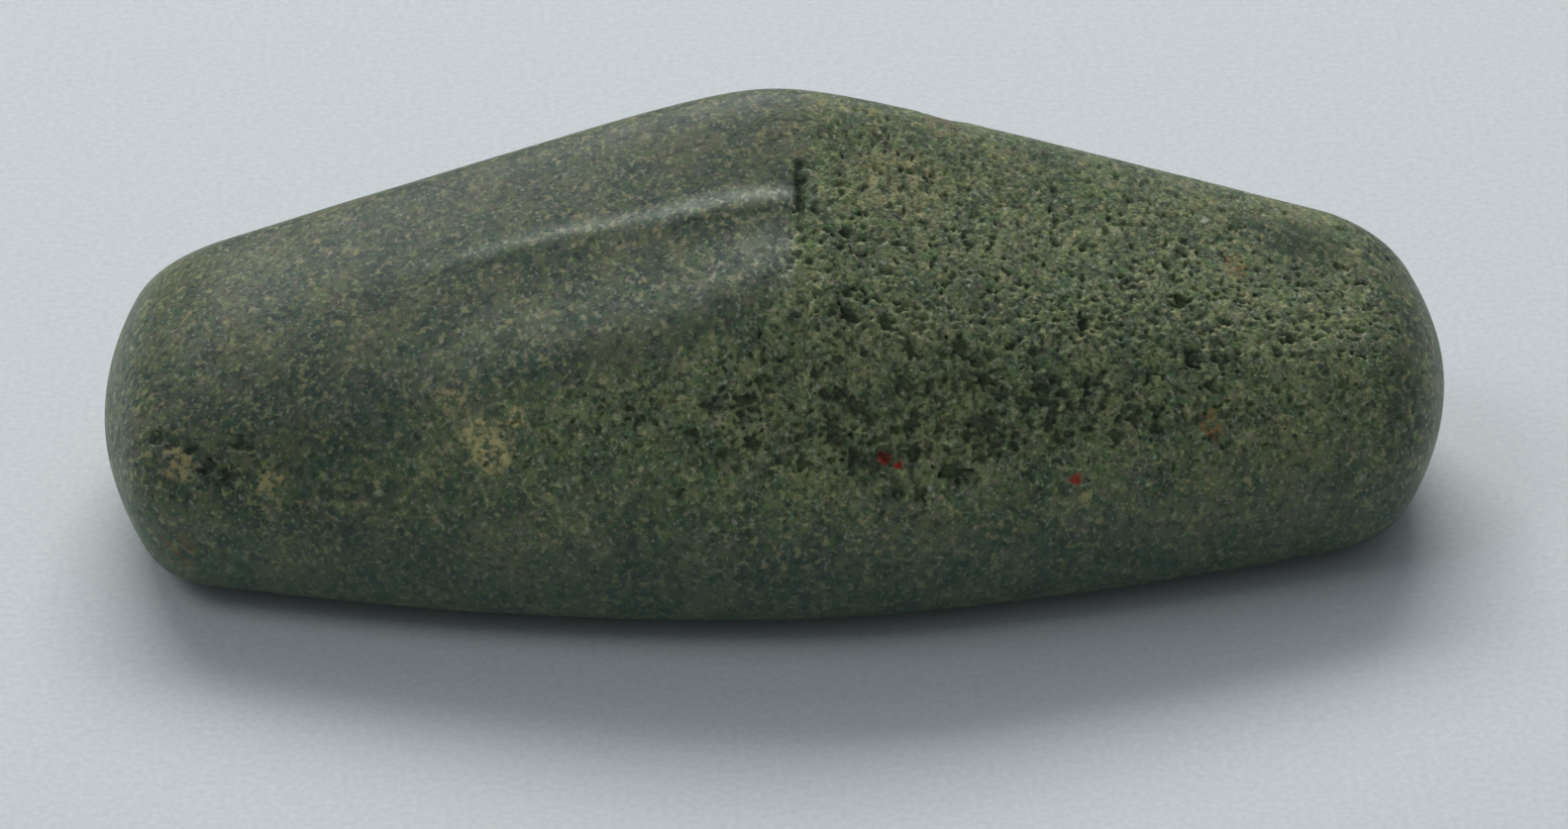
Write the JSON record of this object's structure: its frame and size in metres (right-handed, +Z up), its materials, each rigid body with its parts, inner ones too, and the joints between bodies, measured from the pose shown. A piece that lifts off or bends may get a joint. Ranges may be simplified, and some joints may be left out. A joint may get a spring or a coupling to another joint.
{
  "type": "polished stone axe",
  "caption": "Small polished greenstone axe with a humped back, a planed and fluted flank and blunt domed ends, lying on its ground underside.",
  "frame": {"origin": "centre of the ground underside, level with the surface the stone lies on", "axes": "+X along the stone towards the narrower butt, +Y across it away from the planed and fluted flank, +Z up through the humped back"},
  "size_m": [0.0999, 0.043, 0.0319],
  "materials": {
    "greenstone": "ground and polished to a dull sheen on the blade half and both ends, pecked and pitted on the butt half"
  },
  "bodies": {
    "root": {"stone_axe": "greenstone"}
  },
  "joints": []
}
